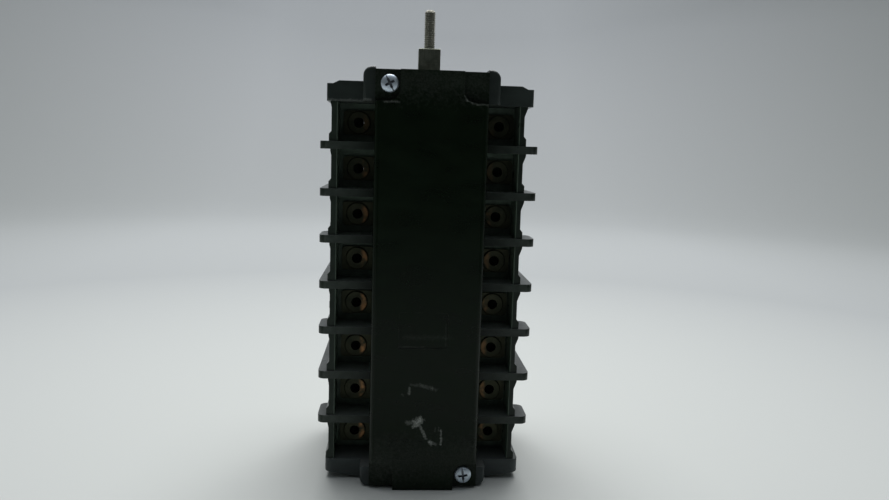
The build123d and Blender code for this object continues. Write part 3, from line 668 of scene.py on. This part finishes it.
def make_contact_springs(end):
    """The coils of one side, each between its seat in the housing and its contact's head."""
    node = f"{end}_contact_springs"
    for deck in range(1, DECKS + 1):
        contact = f"deck_{deck}_{end}_contact"
        low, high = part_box(contact)
        level = (low.z + high.z) / 2
        bm = bmesh.new()
        bm.from_mesh(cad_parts[node].data)
        others = [v for v in bm.verts if abs(v.co.z - level) > PITCH / 2]
        bmesh.ops.delete(bm, geom=others, context="VERTS")
        spring = finish_mesh(f"deck_{deck}_{end}_spring", bm)
        coat(spring, SPRING)
        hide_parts(node)
        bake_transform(spring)


make_contact_springs("front")
make_contact_springs("rear")


# Stage: a pale round sweep of paper, with floor, bend and wall in one

WALL_REACH, WALL_TOP, BEND = 2.1, 2.3, 0.9
BEND_STEPS, SWEEP_SEGMENTS = 24, 96
# Painted light and shade on the paper: darker away from the switch's foot, paler high up, and
# darker to both sides and behind the camera
PAPER_NEAR, PAPER_SHADED_FAR = (0.634, 0.656, 0.638), (0.412, 0.430, 0.435)
PAPER_LIT_HIGH = (0.682, 0.705, 0.729)
PAPER_SHADED_ASIDE = (0.21, 0.225, 0.215)
PAPER_SHADED_BEHIND = (0.10, 0.105, 0.105)
# Over which distances the paper turns to each colour: from the switch's foot, up, to a
# side of the photograph's middle, and towards the camera
FAR_REACH, HIGH_REACH = (0.08, 0.54), (0.02, 0.5)
ASIDE_REACH, BEHIND_REACH = (0.4, 1.7), (-0.42, -1.0)
SWEEP_MIDDLE_X = 0.03


def paper(name):
    """Pale paper with painted light and shade: darker away from the switch, paler high up, darker
    to both sides and behind the camera.
    """
    s = Shader(name)
    place = s.split()
    away = s.add("ShaderNodeVectorMath", operation="LENGTH")
    s.link(s.place, away.inputs[0])
    base = s.mix(s.steps(away.outputs["Value"], *FAR_REACH), PAPER_NEAR, PAPER_SHADED_FAR)
    base = s.mix(s.steps(place["Z"], *HIGH_REACH), base, PAPER_LIT_HIGH)
    aside = s.maths("ABSOLUTE", s.maths("SUBTRACT", place["X"], SWEEP_MIDDLE_X))
    base = s.mix(s.steps(aside, *ASIDE_REACH), base, PAPER_SHADED_ASIDE)
    base = s.mix(s.steps(place["Y"], *BEHIND_REACH), base, PAPER_SHADED_BEHIND)
    s.link(base, s.surface.inputs["Base Color"])
    s.surface.inputs["Roughness"].default_value = 0.9
    s.surface.inputs["Specular IOR Level"].default_value = 0.1
    return s.material


def make_backdrop():
    """Floor, bend and wall as one shell, turned about the switch."""
    section = [(WALL_REACH - BEND, 0.0)]
    for i in range(1, BEND_STEPS + 1):
        turn = pi / 2 * i / BEND_STEPS
        section.append((WALL_REACH - BEND * (1 - sin(turn)), BEND * (1 - cos(turn))))
    section.append((WALL_REACH, WALL_TOP))
    bm = bmesh.new()
    centre = bm.verts.new((0, 0, 0))
    rings = [ring(bm, radius, height, SWEEP_SEGMENTS) for radius, height in section]
    for i in range(SWEEP_SEGMENTS):
        j = (i + 1) % SWEEP_SEGMENTS
        bm.faces.new((centre, rings[0][i], rings[0][j]))
        for a, b in zip(rings, rings[1:]):
            bm.faces.new((a[i], b[i], b[j], a[j]))
    backdrop = finish_mesh("backdrop", bm, sharp_from=60)
    coat(backdrop, paper("backdrop_paper"))


make_backdrop()


# Camera, fitted to the outlines in the photograph

CAMERA_PLACE = Vector((-0.01326, -0.35121, 0.13921))
CAMERA_YAW, CAMERA_PITCH, CAMERA_ROLL = -0.064, 0.127, 0.029
FOCAL_PIXELS, IMAGE_WIDTH, SENSOR_WIDTH = 777.4, 889, 36.0

camera = new_object("camera", bpy.data.cameras.new("camera"))
camera.data.sensor_width = SENSOR_WIDTH
camera.data.lens = SENSOR_WIDTH * FOCAL_PIXELS / IMAGE_WIDTH
camera.data.clip_start = 0.01
turn = Matrix.Rotation(CAMERA_YAW, 3, "Z")
ahead = turn @ Vector((0, cos(CAMERA_PITCH), -sin(CAMERA_PITCH)))
level = turn @ Vector((1, 0, 0))
above = level.cross(ahead)
right = cos(CAMERA_ROLL) * level + sin(CAMERA_ROLL) * above
upright = cos(CAMERA_ROLL) * above - sin(CAMERA_ROLL) * level
axes = Matrix((right, upright, -ahead)).transposed()
camera.matrix_world = Matrix.Translation(CAMERA_PLACE) @ axes.to_4x4()
bpy.context.scene.camera = camera


# Light: a broad soft light above, a smaller one behind, and a dim world

def area_light(name, place, target, size, watts):
    """A white rectangular light at place, aimed at target."""
    data = bpy.data.lights.new(name, "AREA")
    data.shape = "RECTANGLE"
    data.size, data.size_y = size
    data.energy = watts
    data.color = (1.0, 1.0, 1.0)
    lamp = new_object(name, data)
    lamp.location = place
    lamp.rotation_mode = "QUATERNION"
    lamp.rotation_quaternion = (Vector(target) - Vector(place)).to_track_quat("-Z", "Y")


area_light("top_light", (0.0, 0.55, 2.1), (0, 0, 0), (2.0, 1.4), 27)
area_light("back_light", (0.05, 1.0, 1.3), (0, 0, 0.1), (1.2, 0.7), 15)

world = bpy.data.worlds.new("world")
bpy.context.scene.world = world
world.use_nodes = True
sky = world.node_tree.nodes["Background"]
sky.inputs["Color"].default_value = (0.86, 0.93, 1.0, 1)
sky.inputs["Strength"].default_value = 0.36

bpy.context.scene.view_settings.view_transform = "Standard"
